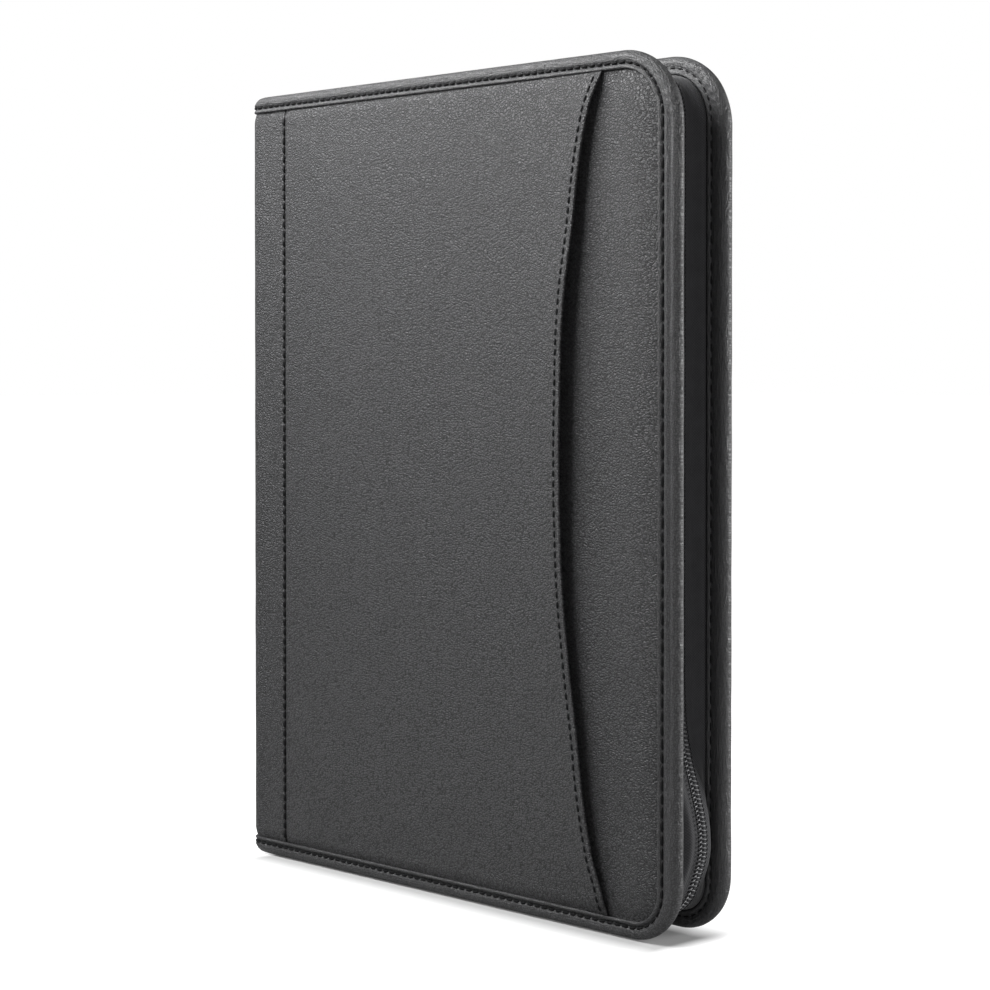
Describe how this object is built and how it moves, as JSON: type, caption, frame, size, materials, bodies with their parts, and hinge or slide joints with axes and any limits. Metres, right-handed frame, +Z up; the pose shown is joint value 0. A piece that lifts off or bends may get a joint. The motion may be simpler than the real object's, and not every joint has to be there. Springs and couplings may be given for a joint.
{
  "type": "writing case",
  "caption": "Zip-around leather writing case with a curved front pocket, padded covers, bound edges and a writing pad inside.",
  "frame": {"origin": "centre of the footprint, on the surface the closed case stands on", "axes": "+X from the spine to the opening edge, +Y from the front cover to the back cover, +Z up the covers"},
  "size_m": [0.26, 0.0418, 0.345],
  "materials": {
    "leather": "pebble-grained",
    "trim_leather": "smooth-grained, folded",
    "foam": "foam",
    "board": "grey pressed board",
    "lining": "woven lining",
    "pocket_sheet": "matt",
    "paper": "uncoated paper",
    "pad_card": "grey card",
    "head_tape": "paper tape",
    "elastic": "woven elastic",
    "zip_tape": "woven tape",
    "zip_chain": "nylon coil",
    "zip_metal": "dark lacquered metal"
  },
  "bodies": {
    "back_cover": {"back_panel": "leather", "back_foam": "foam", "back_board": "board", "back_lining": "lining", "back_binding": "trim_leather", "back_spine_strip": "leather", "pad_card": "pad_card", "pad_panel": "pocket_sheet", "pad_paper": "paper", "pad_head_tape": "head_tape", "zip_tape_back": "zip_tape", "zip_chain_back": "zip_chain", "zip_stop_back": "zip_metal", "zip_end_stop": "zip_metal"},
    "spine": {"spine_leather": "leather", "spine_board": "board", "spine_lining": "lining", "spine_binding_top": "trim_leather", "spine_binding_bottom": "trim_leather", "pen_loop": "elastic", "front_fold": "leather", "back_fold": "leather"},
    "front_cover": {"front_panel": "leather", "front_foam": "foam", "front_board": "board", "front_lining": "lining", "front_binding": "trim_leather", "front_spine_strip": "leather", "front_pocket": "leather", "document_pocket": "pocket_sheet", "card_pocket_1": "pocket_sheet", "card_pocket_2": "pocket_sheet", "card_pocket_3": "pocket_sheet", "zip_tape_front": "zip_tape", "zip_chain_front": "zip_chain", "zip_stop_front": "zip_metal"},
    "slider": {"zip_slider": "zip_metal"},
    "pull": {"zip_pull": "zip_metal"}
  },
  "joints": [
    {"name": "spine_fold", "type": "hinge", "parent": "back_cover", "child": "spine", "pos_m": [-0.1295, 0.02035, 0.1725], "axis": [0, 0, -1], "range_deg": [0, 90], "deforming": ["back_fold"]},
    {"name": "cover_fold", "type": "hinge", "parent": "spine", "child": "front_cover", "pos_m": [-0.1295, -0.01365, 0.1725], "axis": [0, 0, -1], "range_deg": [0, 90], "deforming": ["front_fold"]},
    {"name": "zip_run", "type": "slide", "parent": "back_cover", "child": "slider", "axis": [1, 0, 0], "range_m": [0, 0.17], "deforming": ["zip_chain_front", "zip_chain_back"]},
    {"name": "pull_swing", "type": "hinge", "parent": "slider", "child": "pull", "pos_m": [-0.0945, 0.00335, 0.3405], "axis": [0, -1, 0], "range_deg": [0, 160]}
  ]
}
